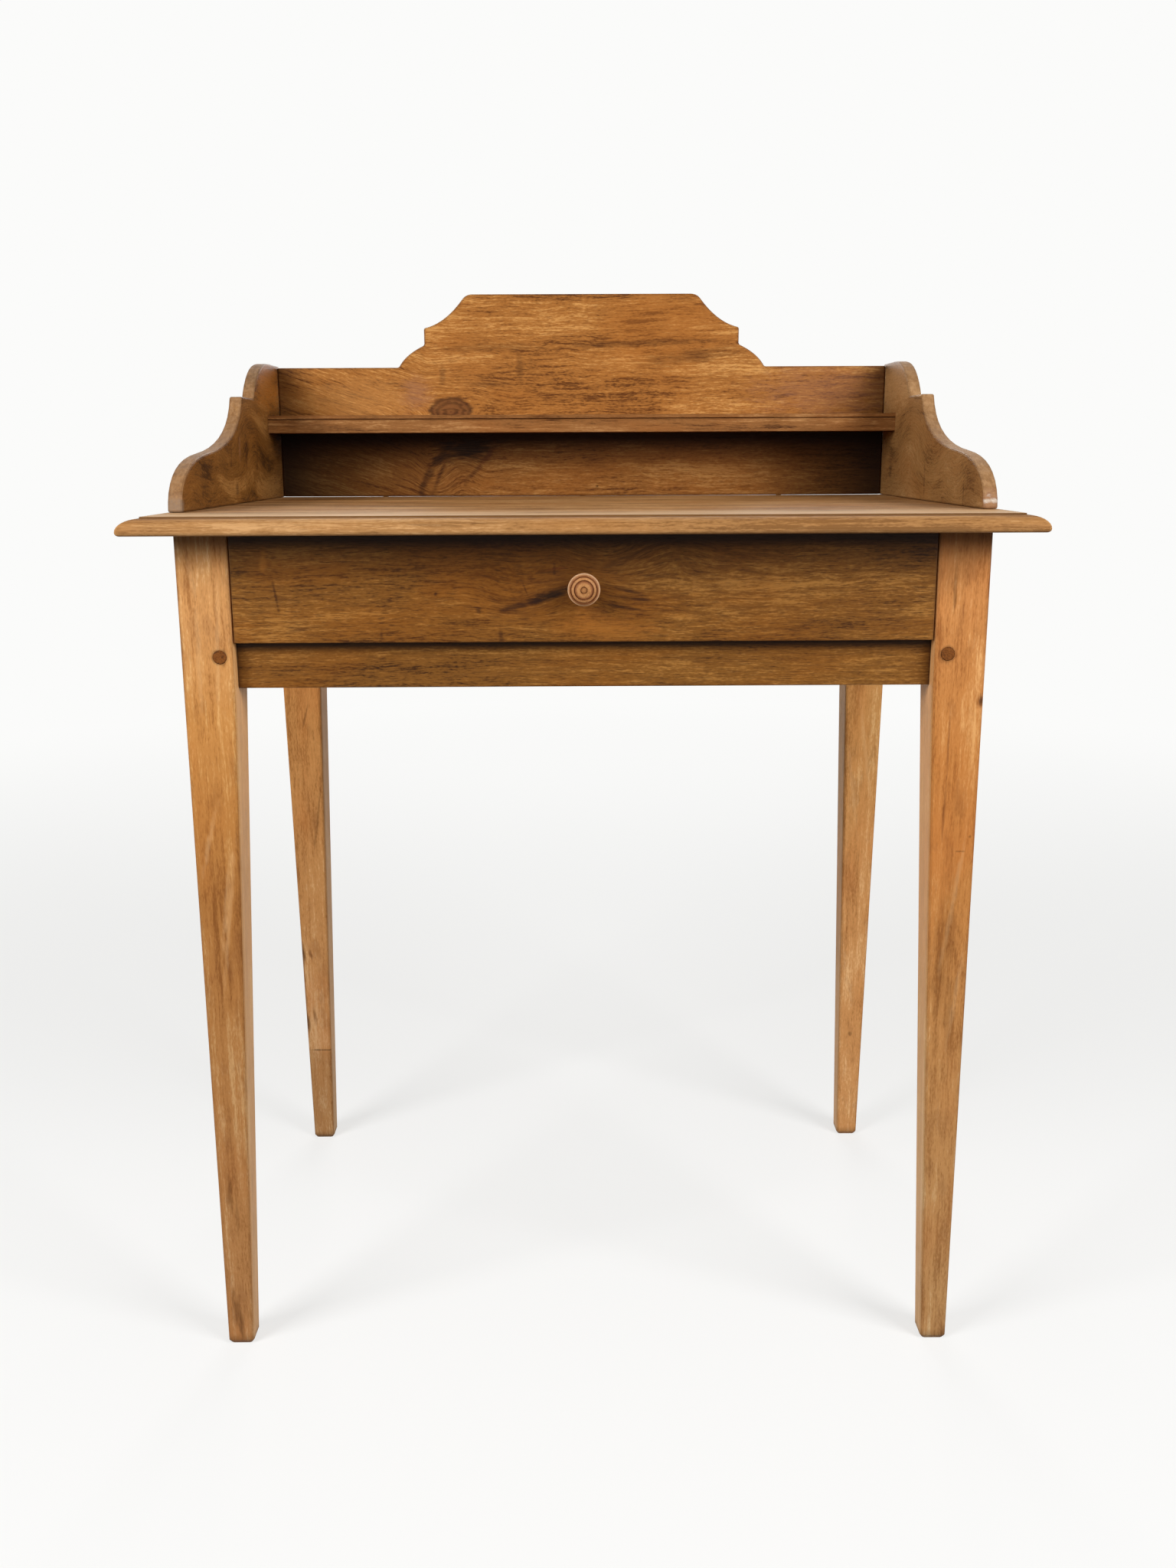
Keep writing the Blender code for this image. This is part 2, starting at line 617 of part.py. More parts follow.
def make_drawer(slide, woods):
    """Drawer front, sides, back, bottom and knob, measured from the front's lower edge."""
    half = DRAWER_WIDTH / 2
    front = box((-half, half), (0, DRAWER_FRONT_THICK), (0, DRAWER_FRONT_HEIGHT))
    front = piece("drawer_front", front, woods["board"], slide)
    ease(front, BOARD_ARRIS)
    back_y = (DRAWER_BACK_FRONT, DRAWER_LENGTH)
    back = box((-half, half), back_y, (GROOVE_TOP, DRAWER_BACK_TOP))
    back = piece("drawer_back", back, woods["inner"], slide)

    groove_z = (DRAWER_BOTTOM_RISE, GROOVE_TOP)
    front_groove = DRAWER_FRONT_THICK - DRAWER_GROOVE
    groove_y = (front_groove, DRAWER_FRONT_THICK + CUT_MARGIN)
    cut(box((-DRAWER_INNER, DRAWER_INNER), groove_y, groove_z), front, parent=slide)

    for word, side in SIDES.items():
        x = span(side * DRAWER_INNER, side * half)
        board = prism("yz", drawer_side_outline(), *x)
        board = piece(f"drawer_side_{word}", board, woods["inner"], slide)
        groove_x = span(side * (DRAWER_INNER - CUT_MARGIN), side * (DRAWER_INNER + DRAWER_GROOVE))
        whole = (-CUT_MARGIN, DRAWER_LENGTH + CUT_MARGIN)
        cut(box(groove_x, whole, groove_z), board, parent=slide)

        socket_x = span(side * (DRAWER_INNER - FIT), side * (half + CUT_MARGIN))
        shoulder = DRAWER_FRONT_THICK + FIT
        sockets = tails(shoulder, DRAWER_LAP + FIT, 0, DRAWER_SIDE_HEIGHT, gap=FIT)
        cut(prisms("yz", sockets, *socket_x), front, parent=slide)
        shoulder = DRAWER_BACK_FRONT - FIT
        heights = (GROOVE_TOP, DRAWER_BACK_TOP)
        sockets = tails(shoulder, DRAWER_LENGTH, *heights, gap=FIT, past=CUT_MARGIN)
        cut(prisms("yz", sockets, *socket_x), back, parent=slide)

    edge = DRAWER_INNER + DRAWER_GROOVE - FIT
    bottom_y = (front_groove + FIT, DRAWER_LENGTH)
    bottom_z = grown(groove_z, -FIT)
    piece("drawer_bottom", box((-edge, edge), bottom_y, bottom_z), woods["inner"], slide)
    make_knob(slide, front, woods["knob"])


def knob_profile():
    """Pairs of distance from the drawer front and radius, from the spigot's end to the face."""
    rim = KNOB_DIAMETER / 2
    foot = KNOB_FOOT_DIAMETER / 2
    spigot = KNOB_SPIGOT_DIAMETER / 2

    def face(radius):
        return KNOB_RIM_FRONT + KNOB_CROWN * math.sqrt(1 - (radius / rim) ** 2)

    profile = [(-KNOB_SPIGOT_LENGTH, spigot), (FIT, spigot), (FIT, foot), (KNOB_FOOT_HEIGHT, foot)]
    profile.append((KNOB_NECK_HEIGHT, KNOB_NECK_DIAMETER / 2))
    profile += curve(profile[-1], (KNOB_RIM_BACK, rim), *KNOB_COVE_PULL)
    profile.append((KNOB_RIM_FRONT, rim))
    last = rim
    lip = KNOB_GROOVE_WIDTH / 2
    for diameter in KNOB_GROOVE_DIAMETERS:
        groove = diameter / 2
        between = (last + groove) / 2
        profile += [(face(between), between), (face(groove + lip), groove + lip)]
        profile += [(face(groove) - KNOB_GROOVE_DEPTH, groove), (face(groove - lip), groove - lip)]
        last = groove - lip
    profile.append((face(last / 2), last / 2))
    return profile


def make_knob(slide, front, finish):
    """Knob on the middle of the drawer front; its spigot fills a hole."""
    stations = [(-out, circle(radius, KNOB_SIDES)) for out, radius in knob_profile()]
    place = (0, 0, DRAWER_FRONT_HEIGHT / 2)
    piece("drawer_knob", sections("xz", stations), finish, slide, place)
    outline = circle(KNOB_SPIGOT_DIAMETER / 2 + FIT, KNOB_SIDES)
    hole = prism("xz", outline, *grown((0, DRAWER_FRONT_THICK), CUT_MARGIN))
    cut(hole, front, parent=slide, location=place)


def empty(name, parent=None, location=(0, 0, 0)):
    made = bpy.data.objects.new(name, None)
    bpy.context.scene.collection.objects.link(made)
    made.parent = parent
    made.location = location
    return made


def main():
    for obj in list(bpy.data.objects):
        bpy.data.objects.remove(obj, do_unlink=True)
    woods = {
        "leg": material("leg_wood", (0.42, 0.19, 0.06), 0.45),
        "board": material("board_wood", (0.21, 0.09, 0.03), 0.5),
        "inner": material("inner_wood", (0.45, 0.27, 0.12), 0.7),
        "knob": material("knob_wood", (0.24, 0.11, 0.04), 0.4),
        "peg": material("peg_wood", (0.16, 0.07, 0.025), 0.55),
    }
    frame = empty("table_frame")
    slide = empty("drawer_slide", frame, (0, LEGS_FRONT, DRAWER_BASE))
    make_frame(frame, woods)
    make_drawer_supports(frame, woods)
    top = make_top(frame, woods["board"])
    make_gallery(frame, top, woods["board"], woods["inner"])
    make_drawer(slide, woods)


main()
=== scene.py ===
"""Looks of the rustic dressing table: aged wood, soft studio light and the photograph's view."""

import math
from collections import namedtuple

import bmesh
import bpy
from mathutils import Color, Matrix, Vector


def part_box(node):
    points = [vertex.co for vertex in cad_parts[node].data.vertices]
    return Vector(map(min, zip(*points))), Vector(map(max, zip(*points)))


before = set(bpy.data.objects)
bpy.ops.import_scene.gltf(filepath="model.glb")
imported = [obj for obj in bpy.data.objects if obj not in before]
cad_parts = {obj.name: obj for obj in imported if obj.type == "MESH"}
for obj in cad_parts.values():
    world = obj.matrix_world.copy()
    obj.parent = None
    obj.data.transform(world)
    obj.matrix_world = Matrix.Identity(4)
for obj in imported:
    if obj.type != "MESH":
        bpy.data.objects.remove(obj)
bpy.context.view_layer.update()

# View of the photograph: a pinhole camera, angles in radians
PHOTO_HEIGHT = 2048
FOCAL_PIXELS = 1850
SENSOR = 36.0
CAMERA_PLACE = Vector((-0.0031, -1.3695, 0.7932))
CAMERA_PITCH = 0.2305
CAMERA_YAW = 0.0050
CAMERA_ROLL = 0.0043

# Studio: the camera sees the floor and the world near white, whatever light they give
BACKGROUND = 0.965
FLOOR_REACH = 30.0
FLOOR_SEEN = 0.30
FLOOR_BOUNCE = 0.45
FLOOR_GLOW = 0.65
FLOOR_ROUGHNESS = 0.9
FADE_START = 0.3
FADE_END = 3.2
WORLD_STRENGTH = 0.06
WORLD_COLOUR = (1, 1, 0.99, 1)
GLOW_COLOUR = (1, 1, 0.985, 1)
LIGHT_AIM = Vector((0, 0, 0.6))
Softbox = namedtuple("Softbox", "place width height power")
SOFTBOXES = {
    "left": Softbox((-1.6, -1.35, 1.6), 1.0, 1.35, 45.0),
    "right": Softbox((1.6, -1.35, 1.6), 1.0, 1.35, 45.0),
    "behind": Softbox((0.0, 2.6, 1.5), 1.4, 1.4, 24.0),
}

# Wood in the making: tones run from dark grain over the ground to light grain, with a warmer patch.
# A streak or spot goes from one end to the other, and a share says how much of its tone shows.
# A knot pulls the grain round itself, within its reach.
# Places on the wood are in metres, first along the grain and then across it
Tones = namedtuple("Tones", "dark ground light warm")
Streak = namedtuple("Streak", "start end half_width tone share")
Knot = namedtuple("Knot", "place size reach pull")
Ring = namedtuple("Ring", "radius half_width tone share")

# Noises in the wood: waves to the metre along and across the grain, and an offset from the wood's seed
# that makes each unlike the others
Noise = namedtuple("Noise", "scale offset detail roughness")
SWAY = Noise((2.5, 9, 9), 0, 1.0, 0.5)
RIPPLE = Noise((20, 26, 26), 5, 1.0, 0.5)
FIBRES = Noise((34, 440, 440), 3, 5.0, 0.72)
SPECKS = Noise((240, 800, 800), 13, 2.0, 0.5)
RINGS = Noise((2.2, 110, 110), 7, 4.0, 0.6)
CLOUDS = Noise((8, 22, 22), 11, 3.0, 0.5)
RAGGED = Noise((60, 240, 240), 23, 3.0, 0.6)
MOTTLE = Noise((28, 70, 70), 29, 4.0, 0.65)
WEAR_AND_SHEEN_NOISE = Noise((9, 22, 22), 38, 4.0, 0.6)
PORE_OFFSET = 17
PORE_LEVELS = (0.52, 0.68)
PORE_DEPTH = 0.8
TONE_SPREAD = 2.4
RELIEF_DEPTH = 0.0006
KNOT_WAVES = 19.0
KNOT_RIM = 0.88

# Size that makes a mapping leave an axis out
LEFT_OUT = 1000

# Painted shade on the back board: down from the shelf, and inwards from its ends
NOOK_REACH = 0.05
CREASE_REACH = 0.020
CREASE_DARKEST = 0.003
CORNER_START = 0.16
END_REACH = 0.05

# Painted shade on other pieces, from where it starts to where it is darkest: depths below a piece's upper
# edge
DRAWER_SHADE = (0.045, 0.0)
DRAWER_CREASE = (0.014, 0.003)
RAIL_CREASE = (0.010, 0.002)

# The same as places on the wood, and last how the feet darken towards their bottom edge
RAIL_ENDS = (0.279, 0.286)
SIDE_SHADE = (0.05, 0.24)
SIDE_CROWN = (0.855, 0.825)
LEG_SHADE = (0.698, 0.7305)
FOOT_DARKENING = (0.012, 0.001)

# Edge of the top: its moulding, its dark lines of dirt and painted shade as two depths and a share, and the
# strip of wear and painted sheen behind it
MOULDING_WIDTH = 0.016
LINE_BLUR = 0.0005
MOULDING_LINES = ((0.0023, 0.0012, 0.7), (0.0130, 0.0143, 0.5))
WEAR_AND_SHEEN_STRIP = (0.130, 0.025)
STRIP_WAVE = 0.14


def rgb(red, green, blue):
    """Linear colour of one that is given as it looks on a screen, from 0 to 255."""
    return (*Color((red / 255, green / 255, blue / 255)).from_srgb_to_scene_linear(), 1)


BOARD_TONES = Tones(rgb(50, 26, 7), rgb(122, 78, 30), rgb(166, 115, 55), rgb(138, 79, 20))
CREST_TONES = Tones(rgb(92, 50, 16), rgb(164, 106, 48), rgb(206, 150, 84), rgb(168, 102, 40))
SHELF_TONES = Tones(rgb(70, 38, 14), rgb(142, 94, 50), rgb(190, 140, 88), rgb(150, 90, 40))
SIDE_TONES = {
    "left": Tones(rgb(52, 29, 9), rgb(124, 80, 33), rgb(168, 118, 62), rgb(138, 86, 32)),
    "right": Tones(rgb(90, 58, 28), rgb(148, 106, 60), rgb(176, 134, 86), rgb(150, 100, 52)),
}
LEG_TONES = Tones(rgb(166, 110, 60), rgb(208, 150, 92), rgb(236, 190, 136), rgb(210, 140, 80))
TOP_TONES = Tones(rgb(92, 56, 24), rgb(166, 120, 72), rgb(210, 164, 112), rgb(176, 116, 58))
INNER_TONES = Tones(rgb(136, 98, 56), rgb(178, 138, 90), rgb(200, 164, 118), rgb(176, 128, 76))
KNOB_TONES = Tones(rgb(130, 80, 38), rgb(184, 130, 80), rgb(220, 172, 122), rgb(190, 128, 74))
PEG_TONES = Tones(rgb(66, 34, 12), rgb(122, 70, 26), rgb(150, 94, 44), rgb(124, 68, 22))

# Near black, for cracks and scars and for painted shade
SHADE_AND_MARKS = rgb(22, 9, 4)
PITCH = rgb(44, 20, 8)
STAIN = rgb(70, 38, 14)
UMBER = rgb(92, 54, 22)
RUST = rgb(96, 44, 18)
CREAM = rgb(230, 182, 126)
HONEY = rgb(186, 116, 46)
MAUVE = rgb(150, 104, 78)
GREY = rgb(140, 120, 100)
CHALK = rgb(235, 228, 214)
KNOT_RING = rgb(64, 34, 14)
KNOT_CORE = rgb(118, 72, 38)
BLEACHED = rgb(200, 146, 84)
RUBBED_AND_SHEEN = rgb(226, 190, 148)
MOULDING = rgb(170, 122, 72)
END_GRAIN = (rgb(140, 104, 70), rgb(176, 138, 100))
# Rings on the knob: a painted highlight on the rim, then dirt and painted shade in the grooves and at the
# centre
KNOB_HIGHLIGHT_AND_SHADE_RINGS = (
    Ring(0.0132, 0.0020, rgb(232, 196, 160), 0.6),
    Ring(0.0108, 0.0018, rgb(112, 58, 32), 0.75),
    Ring(0.0070, 0.0021, rgb(112, 58, 32), 0.8),
    Ring(0.0018, 0.0024, rgb(120, 70, 34), 0.6),
)


class Nodes:
    """A material in the making, around its Principled shader."""

    def __init__(self, name):
        self.material = bpy.data.materials.new(name)
        self.material.use_nodes = True
        self.tree = self.material.node_tree
        self.shader = self.tree.nodes["Principled BSDF"]

    def feed(self, socket, value):
        if isinstance(value, bpy.types.NodeSocket):
            self.tree.links.new(value, socket)
        else:
            socket.default_value = value

    def add(self, kind, inputs, **settings):
        node = self.tree.nodes.new("ShaderNode" + kind)
        for key, value in settings.items():
            setattr(node, key, value)
        for key, value in inputs.items():
            self.feed(node.inputs[key], value)
        return node

    def math(self, operation, *values):
        return self.add("Math", dict(enumerate(values)), operation=operation).outputs[0]

    def product(self, first, *others):
        for other in others:
            first = self.math("MULTIPLY", first, other)
        return first

    def vector(self, operation, *values):
        return self.add("VectorMath", dict(enumerate(values)), operation=operation).outputs[0]

    def length(self, vector):
        return self.add("VectorMath", {0: vector}, operation="LENGTH").outputs["Value"]

    def axes(self, vector):
        return self.add("SeparateXYZ", {0: vector}).outputs

    def step(self, value, low, high):
        """0 below low, 1 above high and smooth between; low may lie above high."""
        inputs = {"Value": value, "From Min": low, "From Max": high}
        return self.add("MapRange", inputs, interpolation_type="SMOOTHSTEP").outputs["Result"]

    def mix(self, share, first, second, blend="MIX"):
        inputs = {0: share, 6: first, 7: second}
        return self.add("Mix", inputs, data_type="RGBA", blend_type=blend).outputs[2]


class Wood(Nodes):
    """Wood whose place has the grain along its first axis, from the table's axes in the given order."""

    def __init__(self, name, order, seed):
        super().__init__(name)
        self.seed = seed
        table = self.axes(self.add("TexCoord", {}).outputs["Object"])
        parts = {i: table["xyz".index(axis)] for i, axis in enumerate(order)}
        self.place = self.add("CombineXYZ", parts).outputs[0]
        self.along, self.across, self.through = self.axes(self.place)
        self.grain = self.place
        self.ragged = self.math("SUBTRACT", self.noise(self.place, RAGGED)[0], 0.5)

    def noise(self, place, kind):
        """Value and colour of one of the noises."""
        offset = self.seed + kind.offset
        inputs = {"Vector": place, "Scale": kind.scale, "Location": (offset, offset * 1.7, offset * 0.6)}
        where = self.add("Mapping", inputs, vector_type="POINT").outputs[0]
        inputs = {"Vector": where, "Scale": 1.0, "Detail": kind.detail, "Roughness": kind.roughness}
        return self.add("TexNoise", inputs).outputs

    def local(self, place, size, turn=0.0):
        """Place around a point, in shares of the size that is given along and across."""
        inputs = {"Vector": self.place, "Location": (*place, 0)}
        inputs.update({"Rotation": (0, 0, turn), "Scale": (*size, LEFT_OUT)})
        return self.add("Mapping", inputs, vector_type="TEXTURE").outputs[0]

    def shift_grain(self, shift):
        """Moves the grain across itself."""
        self.grain = self.vector("ADD", self.grain, self.add("CombineXYZ", {1: shift}).outputs[0])

    def bend_round(self, knots):
        """Leads the grain round the knots."""
        for knot in knots:
            near = self.local(knot.place, knot.reach)
            share = self.step(self.length(near), 1.0, 0.0)
            self.shift_grain(self.product(self.axes(near)[1], share, -knot.pull * knot.reach[1]))

    def slant(self, start, slope):
        """Lets the grain rise towards the low end of its axis, from the given place on."""
        past = self.math("SUBTRACT", self.along, start)
        self.shift_grain(self.product(self.math("MINIMUM", past, 0.0), slope))

    def swirl(self, place, reach, turn):
        """Turns the grain round a place, most in the middle."""
        share = self.step(self.length(self.local(place, reach)), 1.0, 0.0)
        inputs = {"Vector": self.grain, "Center": (*place, 0), "Angle": self.product(share, -turn)}
        self.grain = self.add("VectorRotate", inputs, rotation_type="Z_AXIS").outputs[0]

    def wander(self, grain, kind, width):
        """Grain that wanders across by up to about half the width."""
        bend = self.vector("SUBTRACT", self.noise(self.grain, kind)["Color"], (0.5, 0.5, 0.5))
        return self.vector("MULTIPLY_ADD", bend, (0, width, width), grain)

    def grow(self, tones, lines=0.8, bands=0.3, patches=0.4, specks=0.35, dashes=0.45,
             dash=(0.015, 0.0010), warmth=0.4, sway=0.010, ripple=0.004):
        """Colour and relief from fibres, year rings, patches of tone, fine specks and dark pores."""
        grain = self.wander(self.grain, SWAY, sway)
        grain = self.wander(grain, RIPPLE, ripple)
        fibres, dots, rings = (self.noise(grain, kind)[0] for kind in (FIBRES, SPECKS, RINGS))
        clouds = self.axes(self.noise(grain, CLOUDS)["Color"])
        length, width = dash
        pores = self.noise(grain, Noise((1 / length, 1 / width, 1 / width), PORE_OFFSET, 2.0, 0.6))[0]
        crowd = self.math("MULTIPLY_ADD", self.step(clouds[2], 0.2, 0.6), 0.6, 0.4)
        pores = self.product(self.step(pores, *PORE_LEVELS), crowd)

        tone = 0.5
        for value, share in ((fibres, lines), (rings, bands), (clouds[0], patches), (dots, specks)):
            tone = self.math("MULTIPLY_ADD", self.math("SUBTRACT", value, 0.5), TONE_SPREAD * share, tone)
        self.colour = self.mix(self.step(tone, 0.0, 0.5), tones.dark, tones.ground)
        self.lay(tones.light, self.step(tone, 0.5, 1.0))
        self.lay(tones.warm, self.step(clouds[1], 0.45, 0.7), warmth)
        self.lay(tones.dark, pores, dashes)
        self.relief = self.math("MULTIPLY_ADD", pores, -PORE_DEPTH, fibres)
        self.thread = self.step(fibres, 0.3, 0.6)

    def lay(self, tone, *shares):
        """Lays a tone over the colour, with all the shares times each other."""
        self.colour = self.mix(self.product(*shares), self.colour, tone)

    def normal(self, axis):
        """How far the surface looks along one of the table's axes, from -1 to 1."""
        return self.axes(self.add("NewGeometry", {}).outputs["Normal"])["xyz".index(axis)]

    def front_faces(self):
        """1 on the faces that look to the front."""
        return self.step(self.normal("y"), -0.2, -0.6)

    def side_faces(self, side):
        """1 on the faces that look to one side, 1 for the right and -1 for the left."""
        return self.step(self.normal("x"), side * 0.5, side * 0.9)

    def stain(self, streaks, where=1.0):
        """Lays streaks and spots with ragged rims over the colour, on the given part of the surface."""
        for streak in streaks:
            start, end = Vector(streak.start), Vector(streak.end)
            run = end - start
            size = (run.length / 2 + streak.half_width, streak.half_width)
            reach = self.length(self.local((start + end) / 2, size, math.atan2(run.y, run.x)))
            inside = self.step(self.math("MULTIPLY_ADD", self.ragged, 1.8, reach), 1.2, 0.2)
            taken = self.math("MULTIPLY_ADD", self.thread, -0.35, 1.0)
            self.lay(streak.tone, inside, taken, where, streak.share)

    def darken_along(self, part, pale_end, dark_end, share, where=1.0):
        """Darkens the wood along one part of its place, from a pale end to a dark one; most callers paint
        shade with it.
        """
        self.lay(SHADE_AND_MARKS, self.step(part, pale_end, dark_end), share, where)

    def paint_shade_below_shelf(self):
        """Painted shade on the back board where the shelf and the sides keep the light off."""
        low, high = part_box("gallery_shelf")
        bottom, top, shelf_end = low[2], high[2], high[0]
        front = self.front_faces()
        below = self.product(self.step(self.across, top, bottom), front)
        end = self.math("ABSOLUTE", self.along)
        nook = self.step(self.across, bottom - NOOK_REACH, bottom)
        crease = self.step(self.across, bottom - CREASE_REACH, bottom - CREASE_DARKEST)
        self.lay(SHADE_AND_MARKS, self.math("MULTIPLY_ADD", nook, 0.50, 0.36), below)
        self.lay(SHADE_AND_MARKS, self.step(end, CORNER_START, shelf_end), 0.85, below)
        self.lay(SHADE_AND_MARKS, crease, 0.8, below)
        self.lay(SHADE_AND_MARKS, self.step(end, shelf_end - END_REACH, shelf_end), 0.7, front)

    def tint(self, stops):
        """Shades the wood along its grain by colours at given places."""
        ramp = self.add("ValToRGB", {0: self.along})
        elements = ramp.color_ramp.elements
        while len(elements) < len(stops):
            elements.new(1.0)
        for element, (place, shade) in zip(elements, stops):
            element.position = place
            element.color = (*shade, 1)
        self.colour = self.mix(1.0, self.colour, ramp.outputs[0], "MULTIPLY")

    def grow_knots(self, knots, ring, core):
        """Sets dark ringed knots into the colour."""
        for knot in knots:
            reach = self.length(self.local(knot.place, knot.size))
            reach = self.math("MULTIPLY_ADD", self.ragged, 0.5, reach)
            rings = self.math("SINE", self.product(reach, KNOT_WAVES))
            rings = self.math("MULTIPLY_ADD", self.ragged, 4.0, rings)
            inside = self.mix(self.step(rings, -1.8, 1.8), ring, core)
            away = self.math("ABSOLUTE", self.math("SUBTRACT", reach, KNOT_RIM))
            inside = self.mix(self.product(self.step(away, 0.20, 0.05), 0.7), inside, ring)
            self.lay(inside, self.step(reach, 1.15, 0.85), 0.85)

    def edge_wear_and_painted_light(self, tone, share, radius=0.003):
        """Lays a tone on the edges: dirt and wear on most pieces, also a painted highlight on the top and
        painted shade on the legs.
        """
        soft = self.add("Bevel", {"Radius": radius}, samples=4).outputs[0]
        sharp = self.add("NewGeometry", {}).outputs["Normal"]
        turned = self.add("VectorMath", {0: soft, 1: sharp}, operation="DOT_PRODUCT").outputs["Value"]
        edge_mask = self.step(self.math("MULTIPLY_ADD", self.ragged, 0.08, turned), 0.99, 0.90)
        self.lay(tone, edge_mask, share)

    def finish(self, roughness=0.48, relief=0.3, gloss=0.12):
        """Joins colour, relief and gloss to the shader; pores are rougher than fibres."""
        rough = self.math("MULTIPLY_ADD", self.relief, -0.15, roughness + 0.07)
        bump = self.add("Bump", {"Height": self.relief, "Strength": relief, "Distance": RELIEF_DEPTH})
        self.feed(self.shader.inputs["Base Color"], self.colour)
        self.feed(self.shader.inputs["Roughness"], rough)
        self.feed(self.shader.inputs["Normal"], bump.outputs[0])
        self.feed(self.shader.inputs["Specular IOR Level"], gloss)
        return self.material


def dress(node, material):
    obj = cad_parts[node]
    obj.data.materials.clear()
    obj.data.materials.append(material)


def spot(along, across, radius, tone, share):
    return Streak((along, across), (along, across), radius, tone, share)


def figure(start, end):
    """Pale line in the figure of a leg's wood."""
    return Streak(start, end, 0.0026, CREAM, 0.35)


def make_camera():
    data = bpy.data.cameras.new("camera")
    data.sensor_width = SENSOR
    data.lens = FOCAL_PIXELS / PHOTO_HEIGHT * SENSOR
    camera = bpy.data.objects.new("camera", data)
    bpy.context.scene.collection.objects.link(camera)
    ahead = Vector((math.sin(CAMERA_YAW), math.cos(CAMERA_YAW), 0))
    ahead = ahead * math.cos(CAMERA_PITCH) - Vector((0, 0, math.sin(CAMERA_PITCH)))
    right = Vector((math.cos(CAMERA_YAW), -math.sin(CAMERA_YAW), 0))
    up = right.cross(ahead)
    turn = Matrix((right, up, -ahead)).transposed() @ Matrix.Rotation(-CAMERA_ROLL, 3, "Z")
    camera.matrix_world = Matrix.Translation(CAMERA_PLACE) @ turn.to_4x4()
    bpy.context.scene.camera = camera


def make_world():
    """World that is near white to the camera and gives little light."""
    world = bpy.data.worlds.new("studio")
    bpy.context.scene.world = world
    world.use_nodes = True
    tree = world.node_tree
    back = tree.nodes["Background"]
    path = tree.nodes.new("ShaderNodeLightPath")
    seen = tree.nodes.new("ShaderNodeMath")
    seen.operation = "MAXIMUM"
    tree.links.new(path.outputs["Is Camera Ray"], seen.inputs[0])
    tree.links.new(path.outputs["Is Glossy Ray"], seen.inputs[1])
    level = tree.nodes.new("ShaderNodeMapRange")
    level.inputs["To Min"].default_value = WORLD_STRENGTH
    level.inputs["To Max"].default_value = BACKGROUND
    tree.links.new(seen.outputs[0], level.inputs["Value"])
    tree.links.new(level.outputs[0], back.inputs["Strength"])
    back.inputs["Color"].default_value = WORLD_COLOUR


def make_lights():
    for name, softbox in SOFTBOXES.items():
        lamp = bpy.data.lights.new(f"softbox_{name}", "AREA")
        lamp.shape = "RECTANGLE"
        lamp.size = softbox.width
        lamp.size_y = softbox.height
        lamp.energy = softbox.power
        box = bpy.data.objects.new(lamp.name, lamp)
        bpy.context.scene.collection.objects.link(box)
        box.location = softbox.place
        box.rotation_euler = (LIGHT_AIM - Vector(softbox.place)).to_track_quat("-Z", "Y").to_euler()


def make_floor():
    """Pale floor that keeps the shadows near the table and fades into the background."""
    bm = bmesh.new()
    bmesh.ops.create_grid(bm, x_segments=1, y_segments=1, size=FLOOR_REACH)
    mesh = bpy.data.meshes.new("floor")
    bm.to_mesh(mesh)
    bm.free()
    floor = bpy.data.objects.new("floor", mesh)
    bpy.context.scene.collection.objects.link(floor)

    paint = Nodes("floor")
    paint.shader.inputs["Roughness"].default_value = FLOOR_ROUGHNESS
    paint.shader.inputs["Specular IOR Level"].default_value = 0.0
    path = paint.add("LightPath", {}).outputs
    seen = paint.math("MAXIMUM", path["Is Camera Ray"], path["Is Glossy Ray"])
    greys = ((level, level, level, 1) for level in (FLOOR_BOUNCE, FLOOR_SEEN))
    paint.feed(paint.shader.inputs["Base Color"], paint.mix(seen, *greys))
    paint.feed(paint.shader.inputs["Emission Strength"], paint.product(seen, FLOOR_GLOW))
    paint.shader.inputs["Emission Color"].default_value = GLOW_COLOUR
    far = paint.length(paint.add("TexCoord", {}).outputs["Object"])
    far = paint.product(paint.step(far, FADE_START, FADE_END), seen)
    haze = paint.add("Emission", {"Color": WORLD_COLOUR, "Strength": BACKGROUND})
    both = paint.add("MixShader", {0: far, 1: paint.shader.outputs[0], 2: haze.outputs[0]})
    paint.tree.links.new(both.outputs[0], paint.tree.nodes["Material Output"].inputs["Surface"])
    floor.data.materials.append(paint.material)


